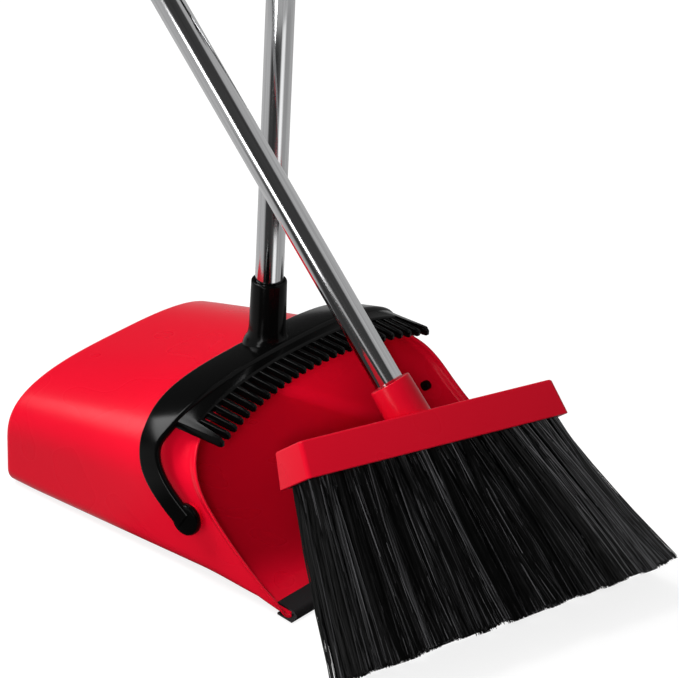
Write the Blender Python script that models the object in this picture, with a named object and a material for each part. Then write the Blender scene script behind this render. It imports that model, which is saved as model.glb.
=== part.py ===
"""Upright dustpan with a swinging scoop, and the angle broom that belongs to it, in metres."""
import math

import bmesh
import bpy
import numpy as np
from mathutils import Matrix, Vector

for old in list(bpy.data.objects):
    bpy.data.objects.remove(old, do_unlink=True)

GAP = 0.0003            # left between pieces that touch
ROUND = 32              # sides of a turned piece
SMALL_ROUND = 24        # and of a small or hidden one
CUT_OVER = 0.01         # how far a cutter stands out of what it cuts

# Scoop. "Forward" runs from the hinge axis to the lip, heights are above the floor.
HINGE_Y = -0.196        # the origin is the middle of the flat heel
HINGE_Z = 0.052
HALF_WIDTH = 0.143      # outside, at the hinge
TAPER = 0.072           # widening per metre of forward travel
WALL = 0.0024
BACK = -0.211
HEEL_END = -0.181
KINK = 0.063
KINK_RISE = 0.0074
TONGUE_END = 0.093
TONGUE_RISE = 0.0027
LIP_FRONT = 0.0985
BACK_CROWN = 0.084
CROWN_SLOPE = 0.211
BACK_SHOULDER = 0.035
SHOULDER_SLOPE = 0.128
ARCH_POWER_BACK = 3.0   # of the superellipse that rounds the hood's shoulders
ARCH_POWER_FRONT = 2.5
HOOD_DIP = 0.008        # how far the hood's front edge is set back at the middle
CORNER_BACK = 0.012
CORNER_FRONT = 0.0042
BACK_ROUND = 0.005
WALL_END = 0.095
WALL_END_HEIGHT = 0.020
EDGE_HEIGHTS = (0.020, 0.035, 0.055, 0.075, 0.095)          # along the wall's front edge
EDGE_FORWARDS = (0.0717, 0.0465, 0.0245, 0.0035, -0.0116)
PIVOT_FORWARD = -0.003  # the pins stand a little behind the line that "forward" is measured from
PIN_RADIUS = 0.004
PIN_INNER = 0.136
PIN_OUTER = 0.155
HUB_RADIUS = 0.0095
HUB_FACE = 0.1475
RUBBER = 0.0015
RUBBER_BACK = 0.079
RUBBER_UNDER_BACK = 0.084
RUBBER_HALF = 0.1432

# Yoke with its comb and pole socket
YOKE_POWER = 3.0
YOKE_STAND_OFF_SIDE = 0.0135
YOKE_STAND_OFF_TOP = 0.0082
YOKE_THICK = 0.0064
YOKE_SIDE_FORWARD = -0.048
YOKE_TOP_FORWARD = -0.051
ARM_SWEEP = 0.045
ARM_TOP = 0.103
ARM_POWER = 1.7
ARM_OVERRUN = 0.0015     # the arm's end goes this far below the pivot, inside the boss
ARM_HALF = 0.0106
BAND_HALF = 0.019
BOSS_RADIUS = 0.0127
BOSS_INNER = 0.1479
BOSS_OUTER = 0.158
BOSS_ROUND = 30         # sides; its corners miss those of the pin's hole
TEETH = 28
COMB_HALF = 0.1235
TOOTH_ROOT = (0.0017, 0.0042)   # half width and half depth
TOOTH_TIP = (0.0013, 0.0030)
ROOT_SHARE = 0.6                # how far ahead on the band a tooth starts
ROOT_DROP = 0.0010              # and how far below its middle
TIP_FORWARD = -0.0027
TIP_FORWARD_END = 0.0093
TIP_HEIGHT = 0.1234
TIP_HEIGHT_END = 0.1075
SOCKET_FORWARD = -0.051
SOCKET_TOP = 0.1805
SOCKET_LENGTH = 0.0565
SOCKET_RADIUS = 0.0137
SOCKET_BASE_RADIUS = 0.0143
SOCKET_BORE = 0.036
POLE_LEAN = 1.9

# Poles of scoop and broom, measured up from the socket's rim
POLE_RADIUS = 0.011
POLE_WALL = 0.0008
POLE_SEAT = 0.035
PAN_LOWER = 0.272
BROOM_LOWER = 0.350     # longer, with its first collar above the crossing
MIDDLE = 0.307
UPPER = 0.231
COLLAR = 0.044
COLLAR_RADIUS = 0.0134
JOINER = 0.060
PLUG_RADIUS = 0.0099
GRIP = 0.105
GRIP_SEAT = 0.075
GRIP_TOP_RADIUS = 0.0165
HANG_RADIUS = 0.004
BROOM_GRIP = 0.060
BROOM_END = 0.088
CLIP_HEIGHT = 0.012
CLIP_RING = 0.0162
CLIP_REACH = 0.029
CLIP_JAW = 0.0138
CLIP_JAW_INSIDE = 0.0114
CLIP_MOUTH = 0.015

# Broom, leaning back over the scoop with its trim on the floor
RIM = (-0.0594, HINGE_Y - 0.1140, 0.1702)
BROOM_LEAN = 38.4
BROOM_LEAN_TURN = 5.1
TRIM_TURN = -14.4
CAP_TILT = 15.65
CAP_CENTRE = (-0.0021, 0.0, -0.0569)
CAP_HALF = 0.1172
CAP_TOP_HALF = 0.1137
CAP_HALF_DEPTH = 0.0225
CAP_TOP_HALF_DEPTH = 0.0195
CAP_HEIGHT = 0.028
CAP_CORNER = 0.0035
CAP_EASE = 0.0014
CAP_WALL = 0.003
POCKET = 0.012
POCKET_CORNER = 0.0015
BACKING = 0.0026
BROOM_SOCKET_RADIUS = 0.016
BROOM_SOCKET_BASE = 0.0168
BROOM_SOCKET_LENGTH = 0.037
TRIM_LEFT = (-0.1563, -0.1637)
TRIM_RIGHT = (0.1342, -0.2259)
TRIM_HALF_DEPTH = 0.0245
STRAND_COLUMNS = 36
STRAND_ROWS = 10
STRAND_TIP = 0.0011
STRAND_FILL = 0.28      # part of its cell that a strand leaves free at each side


def make_material(name, colour, roughness, metallic=0.0):
    made = bpy.data.materials.new(name)
    made.use_nodes = True
    shader = made.node_tree.nodes["Principled BSDF"]
    shader.inputs["Base Color"].default_value = (*colour, 1.0)
    shader.inputs["Roughness"].default_value = roughness
    shader.inputs["Metallic"].default_value = metallic
    return made


RED = make_material("red_plastic", (0.62, 0.012, 0.02), 0.25)
BLACK = make_material("black_plastic", (0.006, 0.006, 0.006), 0.25)
STEEL = make_material("polished_steel", (0.75, 0.75, 0.76), 0.15, 1.0)
RUBBER_BLACK = make_material("black_rubber", (0.008, 0.008, 0.008), 0.6)
FIBRE = make_material("black_fibre", (0.01, 0.01, 0.01), 0.5)


def add_frame(name, matrix):
    frame = bpy.data.objects.new(name, None)
    frame.matrix_world = matrix
    bpy.context.collection.objects.link(frame)
    return frame


def add_solid(name, points, faces, look, frame, sharp=40.0):
    mesh = bpy.data.meshes.new(name)
    mesh.from_pydata([tuple(p) for p in points], [], faces)
    bm = bmesh.new()
    bm.from_mesh(mesh)
    bmesh.ops.recalc_face_normals(bm, faces=bm.faces)
    bm.to_mesh(mesh)
    bm.free()
    mesh.shade_smooth()
    mesh.set_sharp_from_angle(angle=math.radians(sharp))
    mesh.materials.append(look)
    solid = bpy.data.objects.new(name, mesh)
    solid.parent = frame
    bpy.context.collection.objects.link(solid)
    return solid


def add_cutter(name, points, faces, frame):
    cutter = add_solid(name, points, faces, BLACK, frame)
    cutter.hide_render = True
    cutter.display_type = "WIRE"
    return cutter


def combine(target, other, operation):
    step = target.modifiers.new(other.name, "BOOLEAN")
    step.operation = operation
    step.object = other
    step.solver = "EXACT"


def loft(rings):
    """Joins rings of equal length; the first and last are closed with one face each."""
    count = len(rings[0])
    points = [p for ring in rings for p in ring]
    faces = []
    for r in range(len(rings) - 1):
        for k in range(count):
            near, far = r * count + k, r * count + (k + 1) % count
            faces.append((near, far, far + count, near + count))
    faces.append(tuple(range(count)))
    faces.append(tuple(range(len(points) - count, len(points))))
    return points, faces


def turned(outline, sides=ROUND):
    """Turns (radius, height) points about Z. Ends on the axis, or closes on itself as a ring."""
    on_axis = outline[0][0] == 0.0
    points, rows = [], []
    for radius, height in outline:
        if radius == 0.0:
            rows.append([len(points)] * sides)
            points.append((0.0, 0.0, height))
            continue
        rows.append(list(range(len(points), len(points) + sides)))
        for k in range(sides):
            angle = 2 * math.pi * k / sides
            points.append((radius * math.cos(angle), radius * math.sin(angle), height))
    pairs = list(zip(rows, rows[1:]))
    if not on_axis:
        pairs.append((rows[-1], rows[0]))
    faces = []
    for low, high in pairs:
        for k in range(sides):
            after = (k + 1) % sides
            face = [low[k], low[after], high[after], high[k]]
            faces.append(tuple(dict.fromkeys(face)))
    return points, faces


def rod(radius, start, end, sides=ROUND):
    return turned([(0.0, start), (radius, start), (radius, end), (0.0, end)], sides)


def tube(inside, outside, start, end, sides=ROUND):
    return turned([(inside, start), (outside, start), (outside, end), (inside, end)], sides)


def along_x(shape, x_sign):
    """Lays a turned shape on the pivot's axis, with its height along +X or -X."""
    points, faces = shape
    return [(x_sign * z, y - PIVOT_FORWARD, x) for x, y, z in points], faces


def box(low, high):
    corners = [(x, y, z) for z in (low[2], high[2]) for x, y in
               ((low[0], low[1]), (high[0], low[1]), (high[0], high[1]), (low[0], high[1]))]
    return loft([corners[:4], corners[4:]])


def blend(value, start, end):
    part = min(max((value - start) / (end - start), 0.0), 1.0)
    return part * part * (3 - 2 * part)


# Scoop: sections across it, from the closed back to the open front

def floor_height(forward):
    marks = (BACK, HEEL_END, KINK, TONGUE_END)
    heights = (0.0, 0.0, KINK_RISE, TONGUE_RISE)
    return float(np.interp(forward, marks, heights))


def half_width(forward):
    return HALF_WIDTH + TAPER * forward


def crown(forward):
    return BACK_CROWN + CROWN_SLOPE * (forward - BACK)


def shoulder(forward):
    return BACK_SHOULDER + SHOULDER_SLOPE * (forward - BACK)


def arch_power(forward):
    return ARCH_POWER_BACK + (ARCH_POWER_FRONT - ARCH_POWER_BACK) * blend(forward, BACK, 0.0)


def arch_point(width, low, high, angle, power):
    across = width * math.cos(angle) ** (2 / power)
    up = low + (high - low) * math.sin(angle) ** (2 / power)
    return across, up


FLOOR_PARTS = (0.0, 0.35, 0.7)
CORNER_STEPS = 4
WALL_PARTS = (0.25, 0.5, 0.75)
ARCH_STEPS = 10
ARCH_SPREAD = 1.35      # crowds the arch's points towards the wall
TIGHTEST = 0.0012       # radius that the inside of a corner keeps
CORNER_BLEND_END = 0.075
HALF_COUNT = len(FLOOR_PARTS) + CORNER_STEPS + 1 + len(WALL_PARTS) + ARCH_STEPS + 1


def half_section(forward, inset):
    """Right half of the outline at one place, from the middle of the floor to the crown."""
    width = half_width(forward) - inset
    low = floor_height(forward) + inset
    radius = CORNER_BACK + (CORNER_FRONT - CORNER_BACK) * blend(forward, 0.0, CORNER_BLEND_END)
    radius = max(radius - inset, TIGHTEST)
    spring = shoulder(forward)
    points = [(part * (width - radius), low) for part in FLOOR_PARTS]
    for k in range(CORNER_STEPS + 1):
        angle = math.pi / 2 * k / CORNER_STEPS
        points.append((width - radius + radius * math.sin(angle), low + radius - radius * math.cos(angle)))
    points += [(width, low + radius + part * (spring - low - radius)) for part in WALL_PARTS]
    for k in range(ARCH_STEPS + 1):
        angle = min(math.pi / 2 * (k / ARCH_STEPS) ** ARCH_SPREAD, math.pi / 2 - 1e-9)
        across, up = arch_point(width, spring, crown(forward) - inset, angle, arch_power(forward))
        points.append((0.0 if k == ARCH_STEPS else across, up))
    return points


EDGE_CURVE = np.polyfit(EDGE_HEIGHTS, EDGE_FORWARDS, 2)


def edge_forward(height):
    """Where the wall's front edge is at a height: a rounded end at the lip, then a hollow sweep."""
    sweep = float(np.polyval(EDGE_CURVE, max(height, WALL_END_HEIGHT)))
    if height >= WALL_END_HEIGHT:
        return sweep
    return WALL_END - (WALL_END - sweep) * (height / WALL_END_HEIGHT) ** 2


def rim_forward(index):
    """Where one line of the outline, counted from the middle of the floor, ends at the mouth."""
    if index <= len(FLOOR_PARTS):
        return TONGUE_END
    forward = 0.0
    for _ in range(40):
        across, up = half_section(forward, 0.0)[index]
        dip = 0.0
        if up > shoulder(forward):
            dip = HOOD_DIP * (1 - (across / half_width(forward)) ** 2)
        forward = 0.5 * forward + 0.5 * (edge_forward(up) - dip)
    return forward


ROWS = (HEEL_END, -0.130, -0.080, -0.030, 0.015, 0.042, KINK, 0.078, TONGUE_END)


def cup_rings(inset):
    """Rings of the scoop's outside (inset 0) or inside, in the hinge's frame."""
    rims = [rim_forward(k) for k in range(HALF_COUNT)]
    back = BACK + inset
    starts = [(back, inset + BACK_ROUND), (back + 0.3 * BACK_ROUND, inset + 0.3 * BACK_ROUND),
              (back + BACK_ROUND, inset)]
    rows = [(start, extra, False) for start, extra in starts] + [(row, inset, True) for row in ROWS]
    rings = []
    for row, extra, follows_rim in rows:
        half = []
        for k, rim in enumerate(rims):
            forward = row
            if follows_rim:
                forward = BACK + (row - BACK) * (rim - BACK) / (TONGUE_END - BACK)
                forward = max(forward, back + BACK_ROUND * 1.5)
            across, up = half_section(forward, extra)[k]
            half.append((across, -forward, up - HINGE_Z))
        mirrored = [(-x, y, z) for x, y, z in reversed(half[1:-1])]
        rings.append(half + mirrored)
    return rings


def make_scoop(frame):
    outside, inside = cup_rings(0.0), cup_rings(WALL)
    points, faces = loft(outside + inside[::-1])
    scoop = add_solid("pan_shell", points, faces, RED, frame, sharp=35.0)
    for side, name in ((-1, "left"), (1, "right")):
        hub = along_x(rod(HUB_RADIUS, HALF_WIDTH - WALL / 2, HUB_FACE, SMALL_ROUND), side)
        hole = along_x(rod(PIN_RADIUS + GAP, PIN_INNER - CUT_OVER, HUB_FACE + CUT_OVER, SMALL_ROUND), side)
        combine(scoop, add_cutter(f"hub_{name}", *hub, frame), "UNION")
        combine(scoop, add_cutter(f"hub_hole_{name}", *hole, frame), "DIFFERENCE")


def make_rubber_lip(frame):
    """A strip folded round the floor's tongue, meeting the floor at its front."""
    fall = (TONGUE_RISE - KINK_RISE) / (TONGUE_END - KINK)

    def under(forward):
        return KINK_RISE + fall * (forward - KINK)

    top = WALL + GAP
    outline = [(RUBBER_BACK, top), (RUBBER_BACK, top + 0.4 * RUBBER), (RUBBER_BACK + 0.002, top + RUBBER),
               (LIP_FRONT - 0.003, top + RUBBER * 0.7), (LIP_FRONT, 0.0), (LIP_FRONT, -GAP - RUBBER),
               (RUBBER_UNDER_BACK, -GAP - RUBBER), (RUBBER_UNDER_BACK, -GAP),
               (TONGUE_END + GAP, -GAP), (TONGUE_END + GAP, top)]
    ends = []
    for side in (-1, 1):
        ends.append([(side * RUBBER_HALF, -f, under(f) + z - HINGE_Z) for f, z in outline])
    add_solid("rubber_lip", *loft(ends), RUBBER_BLACK, frame)


# Yoke: a band over the hood, an arm and boss at each side, a comb in front and the pole's socket

YOKE_HALF_WIDTH = half_width(YOKE_SIDE_FORWARD) + YOKE_STAND_OFF_SIDE


def yoke_middle(angle):
    """Middle of the band's thickness: 0 at the right arm, pi at the left one, in the hinge's frame."""
    up_part = abs(math.sin(angle))
    flat = max(min(angle, math.pi - angle), 0.0)
    forward = YOKE_SIDE_FORWARD
    for _ in range(30):
        top = crown(forward) + YOKE_STAND_OFF_TOP
        across, up = arch_point(YOKE_HALF_WIDTH, HINGE_Z, top, flat, YOKE_POWER)
        if up < ARM_TOP:
            forward = YOKE_SIDE_FORWARD + ARM_SWEEP * ((ARM_TOP - up) / (ARM_TOP - HINGE_Z)) ** ARM_POWER
        else:
            back = YOKE_TOP_FORWARD - YOKE_SIDE_FORWARD
            forward = YOKE_SIDE_FORWARD + back * blend(up_part, 0.55, 1.0)
    side = 1 if angle < math.pi / 2 else -1
    return Vector((side * across, -forward, up - HINGE_Z))


def yoke_frame(angle):
    """Directions out of the band and across it."""
    step = 0.004
    before = yoke_middle(max(angle - step, 0.0))
    after = yoke_middle(min(angle + step, math.pi))
    run = (after - before).normalized()
    flat = Vector((run.x, 0.0, run.z)).normalized()
    out = Vector((flat.z, 0.0, -flat.x))
    if out.dot(Vector((math.cos(angle), 0.0, math.sin(angle)))) < 0:
        out = -out
    out.y += CROWN_SLOPE * max(out.z, 0.0)
    out = (out - run * out.dot(run)).normalized()
    return out, run.cross(out).normalized()


def band_half(angle):
    return ARM_HALF + (BAND_HALF - ARM_HALF) * blend(math.sin(angle), 0.35, 0.95)


def make_band(frame):
    stations = 48
    thick, ease, flat_share = YOKE_THICK / 2, 0.35, 0.9
    rings = []
    for k in range(stations + 1):
        angle = math.pi * k / stations
        middle = yoke_middle(angle)
        if k in (0, stations):
            middle.z -= ARM_OVERRUN
        out, across = yoke_frame(angle)
        half = band_half(angle)
        corners = [(-half, -thick), (half, -thick), (half, thick * ease), (half * flat_share, thick),
                   (-half * flat_share, thick), (-half, thick * ease)]
        rings.append([middle + across * a + out * b for a, b in corners])
    return add_solid("comb_yoke", *loft(rings), BLACK, frame, sharp=35.0)


def tooth_line(part):
    """Root and tip of the tooth at part -1 (left end) to 1 (right end) of the comb."""
    x = COMB_HALF * part
    flat = math.acos((abs(x) / YOKE_HALF_WIDTH) ** (YOKE_POWER / 2))
    angle = flat if x > 0 else math.pi - flat
    across = yoke_frame(angle)[1]
    ahead = across if across.y < 0 else -across
    root = yoke_middle(angle) + ahead * (band_half(angle) * ROOT_SHARE)
    root.x = x
    root.z -= ROOT_DROP
    forward = TIP_FORWARD + (TIP_FORWARD_END - TIP_FORWARD) * part ** 2
    height = TIP_HEIGHT + (TIP_HEIGHT_END - TIP_HEIGHT) * part ** 2
    return root, Vector((x, -forward, height - HINGE_Z))


def comb_teeth():
    """Upright blades that grow thinner and shallower to their tips."""
    points, faces = [], []
    side = Vector((1.0, 0.0, 0.0))
    for k in range(TEETH):
        root, tip = tooth_line(2 * k / (TEETH - 1) - 1)
        up = (tip - root).cross(side).normalized()
        ends = []
        for centre, (wide, deep) in ((root, TOOTH_ROOT), (tip, TOOTH_TIP)):
            corners = ((-wide, -deep), (wide, -deep), (wide, deep), (-wide, deep))
            ends.append([centre + side * a + up * b for a, b in corners])
        tooth_points, tooth_faces = loft(ends)
        faces += [tuple(len(points) + v for v in face) for face in tooth_faces]
        points += tooth_points
    return points, faces


def make_yoke(hinge, pole):
    yoke = make_band(hinge)
    combine(yoke, add_cutter("comb", *comb_teeth(), hinge), "UNION")
    socket = turned([(0.0, -SOCKET_LENGTH), (SOCKET_BASE_RADIUS, -SOCKET_LENGTH),
                     (SOCKET_RADIUS, -0.001), (SOCKET_RADIUS - 0.0008, 0.0), (0.0, 0.0)])
    combine(yoke, add_cutter("pole_socket", *socket, pole), "UNION")
    bore = rod(POLE_RADIUS + GAP, -SOCKET_BORE, CUT_OVER)
    for side, name in ((-1, "left"), (1, "right")):
        boss = along_x(rod(BOSS_RADIUS, BOSS_INNER, BOSS_OUTER, BOSS_ROUND), side)
        hole = along_x(rod(PIN_RADIUS + GAP, BOSS_INNER - CUT_OVER, PIN_OUTER + GAP, SMALL_ROUND), side)
        combine(yoke, add_cutter(f"boss_{name}", *boss, hinge), "UNION")
        combine(yoke, add_cutter(f"boss_hole_{name}", *hole, hinge), "DIFFERENCE")
        pin = along_x(rod(PIN_RADIUS, PIN_INNER, PIN_OUTER, SMALL_ROUND), side)
        add_solid(f"pivot_pin_{name}", *pin, BLACK, hinge)
    combine(yoke, add_cutter("socket_bore", *bore, pole), "DIFFERENCE")


# Poles: three steel sections with two collars, on the socket's axis

def make_pole(name, frame, lower, top_seat):
    inside, bore = POLE_RADIUS - POLE_WALL, POLE_RADIUS + GAP
    ease = 0.002
    lower_joint = lower + COLLAR / 2
    upper_joint = lower + COLLAR + MIDDLE + COLLAR / 2
    top = upper_joint + COLLAR / 2 + UPPER
    spans = {"lower": (-POLE_SEAT, lower_joint - GAP), "middle": (lower_joint + GAP, upper_joint - GAP),
             "upper": (upper_joint + GAP, top + top_seat)}
    for part, (start, end) in spans.items():
        add_solid(f"{name}_pole_{part}", *tube(inside, POLE_RADIUS, start, end), STEEL, frame)
    for part, joint in (("lower", lower_joint), ("upper", upper_joint)):
        low, high = joint - COLLAR / 2, joint + COLLAR / 2
        collar = turned([(bore, low), (COLLAR_RADIUS - ease / 2, low), (COLLAR_RADIUS, low + ease),
                         (COLLAR_RADIUS, high - ease), (COLLAR_RADIUS - ease / 2, high), (bore, high)])
        add_solid(f"{name}_collar_{part}", *collar, BLACK, frame)
        joiner = rod(PLUG_RADIUS, joint - JOINER / 2, joint + JOINER / 2, SMALL_ROUND)
        add_solid(f"{name}_joiner_{part}", *joiner, BLACK, frame)
    add_solid(f"{name}_foot_plug", *rod(PLUG_RADIUS, -POLE_SEAT, 0.0, SMALL_ROUND), BLACK, frame)
    return lower_joint, upper_joint, top


def make_hang_hole(grip, name, height, frame):
    points, faces = rod(HANG_RADIUS, -2 * GRIP_TOP_RADIUS, 2 * GRIP_TOP_RADIUS, SMALL_ROUND)
    cross = [(x, z, y + height) for x, y, z in points]
    combine(grip, add_cutter(f"{name}_hang_hole", cross, faces, frame), "DIFFERENCE")


def make_pan_grip(frame, start):
    bore = POLE_RADIUS + GAP
    outline = [(0.0, GRIP_SEAT), (bore, GRIP_SEAT), (bore, 0.0), (0.0126, 0.0), (0.0133, 0.003),
               (0.0138, 0.06), (0.0150, 0.082), (GRIP_TOP_RADIUS, 0.094), (0.0160, 0.100),
               (0.0125, 0.104), (0.0, GRIP)]
    grip = add_solid("pan_grip", *turned([(r, z + start) for r, z in outline]), BLACK, frame)
    make_hang_hole(grip, "pan_grip", start + 0.089, frame)


def make_broom_grip(frame, start):
    bore = POLE_RADIUS + GAP
    sleeve = [(bore, 0.0), (0.0126, 0.0), (0.0133, 0.003), (0.0137, BROOM_GRIP), (bore, BROOM_GRIP)]
    add_solid("broom_grip", *turned([(r, z + start) for r, z in sleeve]), BLACK, frame)
    base = BROOM_GRIP + GAP
    spigot = base - 0.025
    end = [(0.0, spigot), (PLUG_RADIUS, spigot), (PLUG_RADIUS, base), (0.0128, base), (0.0135, base + 0.012),
           (0.0133, base + 0.04), (0.0116, base + 0.062), (0.0078, base + 0.079), (0.0035, base + 0.0868),
           (0.0, base + BROOM_END)]
    tip = add_solid("broom_grip_end", *turned([(r, z + start) for r, z in end]), RED, frame)
    make_hang_hole(tip, "broom_grip_end", start + base + 0.056, frame)


def make_clip(name, frame, height):
    """A ring on the collar with an open jaw in front, sized for the other pole."""
    low, high = height - CLIP_HEIGHT / 2, height + CLIP_HEIGHT / 2
    clip = add_solid(name, *tube(COLLAR_RADIUS + GAP, CLIP_RING, low, high), BLACK, frame)
    points, faces = tube(CLIP_JAW_INSIDE, CLIP_JAW, low, high)
    jaw = [(x, y - CLIP_REACH, z) for x, y, z in points]
    combine(clip, add_cutter(f"{name}_jaw", jaw, faces, frame), "UNION")
    front = -CLIP_REACH - CLIP_JAW - CUT_OVER
    mouth = box((-CLIP_MOUTH / 2, front, low - CUT_OVER), (CLIP_MOUTH / 2, -CLIP_REACH, high + CUT_OVER))
    combine(clip, add_cutter(f"{name}_mouth", *mouth, frame), "DIFFERENCE")


# Broom head: a moulded cap with a pocket, the block in it and the fan of bristles

def rounded_outline(half_x, half_y, corner, height, steps=4):
    points = []
    for sx, sy, start in ((1, 1, 0.0), (-1, 1, 0.5), (-1, -1, 1.0), (1, -1, 1.5)):
        for k in range(steps + 1):
            angle = math.pi * (start + 0.5 * k / steps)
            points.append((sx * (half_x - corner) + corner * math.cos(angle),
                           sy * (half_y - corner) + corner * math.sin(angle), height))
    return points


def make_cap(cap_frame, pole_frame):
    pocket_x, pocket_y = CAP_HALF - CAP_WALL, CAP_HALF_DEPTH - CAP_WALL
    top_x, top_y = CAP_TOP_HALF - CAP_EASE, CAP_TOP_HALF_DEPTH - CAP_EASE
    rings = [rounded_outline(pocket_x, pocket_y, POCKET_CORNER, POCKET),
             rounded_outline(pocket_x, pocket_y, POCKET_CORNER, 0.0),
             rounded_outline(CAP_HALF, CAP_HALF_DEPTH, CAP_CORNER, 0.0),
             rounded_outline(CAP_TOP_HALF, CAP_TOP_HALF_DEPTH, CAP_CORNER, CAP_HEIGHT - CAP_EASE),
             rounded_outline(top_x, top_y, CAP_CORNER - CAP_EASE / 2, CAP_HEIGHT)]
    cap = add_solid("broom_cap", *loft(rings), RED, cap_frame)
    socket = turned([(0.0, -BROOM_SOCKET_LENGTH), (BROOM_SOCKET_BASE, -BROOM_SOCKET_LENGTH),
                     (BROOM_SOCKET_RADIUS, -0.001), (BROOM_SOCKET_RADIUS - 0.0008, 0.0), (0.0, 0.0)])
    combine(cap, add_cutter("broom_socket", *socket, pole_frame), "UNION")
    bore = rod(POLE_RADIUS + GAP, -SOCKET_BORE, CUT_OVER)
    combine(cap, add_cutter("broom_socket_bore", *bore, pole_frame), "DIFFERENCE")


def make_block(cap_frame):
    half_x, half_y = CAP_HALF - CAP_WALL - GAP, CAP_HALF_DEPTH - CAP_WALL - GAP
    rings = [rounded_outline(half_x, half_y, POCKET_CORNER, BACKING + GAP),
             rounded_outline(half_x, half_y, POCKET_CORNER, POCKET - GAP)]
    add_solid("bristle_block", *loft(rings), BLACK, cap_frame)


def make_bristles(cap_frame, pole_frame):
    """Straight strands that fan from a thin backing plate to the slanted trim."""
    to_cap = cap_frame.matrix_world.inverted() @ pole_frame.matrix_world
    half_x, half_y = CAP_HALF - CAP_WALL - GAP - POCKET_CORNER, CAP_HALF_DEPTH - CAP_WALL - GAP
    bm = bmesh.new()

    def grid_point(column, row):
        return (half_x * (2 * column / STRAND_COLUMNS - 1), half_y * (2 * row / STRAND_ROWS - 1))

    def plate(height):
        return [[bm.verts.new((*grid_point(c, r), height)) for r in range(STRAND_ROWS + 1)]
                for c in range(STRAND_COLUMNS + 1)]

    top, bottom = plate(BACKING), plate(0.0)
    for c in range(STRAND_COLUMNS):
        for r in range(STRAND_ROWS):
            bm.faces.new((top[c][r], top[c + 1][r], top[c + 1][r + 1], top[c][r + 1]))
            add_strand(bm, bottom, c, r, to_cap)
    border = [(c, 0) for c in range(STRAND_COLUMNS)]
    border += [(STRAND_COLUMNS, r) for r in range(STRAND_ROWS)]
    border += [(c, STRAND_ROWS) for c in range(STRAND_COLUMNS, 0, -1)]
    border += [(0, r) for r in range(STRAND_ROWS, 0, -1)]
    for (c0, r0), (c1, r1) in zip(border, border[1:] + border[:1]):
        bm.faces.new((top[c0][r0], bottom[c0][r0], bottom[c1][r1], top[c1][r1]))
    bmesh.ops.dissolve_limit(bm, angle_limit=0.001, verts=[v for column in top for v in column],
                             edges=[e for e in bm.edges if all(v.co.z > BACKING * 0.5 for v in e.verts)])
    bmesh.ops.recalc_face_normals(bm, faces=bm.faces)
    mesh = bpy.data.meshes.new("bristles")
    bm.to_mesh(mesh)
    bm.free()
    mesh.materials.append(FIBRE)
    bristles = bpy.data.objects.new("bristles", mesh)
    bristles.parent = cap_frame
    bpy.context.collection.objects.link(bristles)


def add_strand(bm, bottom, column, row, to_cap):
    """One four-sided strand, raised from the middle of its cell of the plate."""
    cell = [bottom[column][row], bottom[column + 1][row],
            bottom[column + 1][row + 1], bottom[column][row + 1]]
    centre = sum((v.co for v in cell), Vector()) / 4
    across = (column + 0.5) / STRAND_COLUMNS
    depth = 2 * (row + 0.5) / STRAND_ROWS - 1
    trim = Vector((TRIM_LEFT[0] + across * (TRIM_RIGHT[0] - TRIM_LEFT[0]), depth * TRIM_HALF_DEPTH,
                   TRIM_LEFT[1] + across * (TRIM_RIGHT[1] - TRIM_LEFT[1])))
    tip_centre = to_cap @ trim
    keep = 1 - 2 * STRAND_FILL
    root, tip = [], []
    for v in cell:
        arm = v.co - centre
        root.append(bm.verts.new(centre + arm * keep))
        sign = Vector((math.copysign(1, arm.x), math.copysign(1, arm.y), 0.0))
        tip.append(bm.verts.new(tip_centre + sign * STRAND_TIP))
    for k in range(4):
        after = (k + 1) % 4
        bm.faces.new((cell[k], cell[after], root[after], root[k]))
        bm.faces.new((root[k], root[after], tip[after], tip[k]))
    bm.faces.new(tip)


def broom_matrix():
    lean, turn = math.radians(BROOM_LEAN), math.radians(BROOM_LEAN_TURN)
    up = Vector((-math.sin(lean) * math.sin(turn), math.sin(lean) * math.cos(turn), math.cos(lean)))
    trim = Vector((math.cos(math.radians(TRIM_TURN)), math.sin(math.radians(TRIM_TURN)), 0.0))
    side = (trim - up * trim.dot(up)).normalized()
    back = up.cross(side)
    matrix = Matrix((side, back, up)).transposed().to_4x4()
    matrix.translation = RIM
    return matrix


def main():
    hinge = add_frame("hinge_axis", Matrix.Translation((0.0, HINGE_Y, HINGE_Z)))
    pole_place = Matrix.Translation((0.0, HINGE_Y - SOCKET_FORWARD, SOCKET_TOP))
    pole = add_frame("pan_pole_axis", pole_place @ Matrix.Rotation(math.radians(POLE_LEAN), 4, "X"))
    broom = add_frame("broom_axis", broom_matrix())
    tilt = Matrix.Rotation(math.radians(CAP_TILT), 4, "Y")
    cap = add_frame("broom_cap_axis", broom_matrix() @ Matrix.Translation(CAP_CENTRE) @ tilt)

    make_scoop(hinge)
    make_rubber_lip(hinge)
    make_yoke(hinge, pole)
    lower, upper, top = make_pole("pan", pole, PAN_LOWER, GRIP_SEAT - GAP)
    make_pan_grip(pole, top)
    make_clip("storage_clip_lower", pole, lower)
    make_clip("storage_clip_upper", pole, upper)

    make_cap(cap, broom)
    make_block(cap)
    make_bristles(cap, broom)
    top = make_pole("broom", broom, BROOM_LOWER, BROOM_GRIP - GAP)[2]
    make_broom_grip(broom, top)
    bpy.context.view_layer.update()


main()
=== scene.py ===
import math

import bmesh
import bpy
import numpy as np
from mathutils import Matrix


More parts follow.
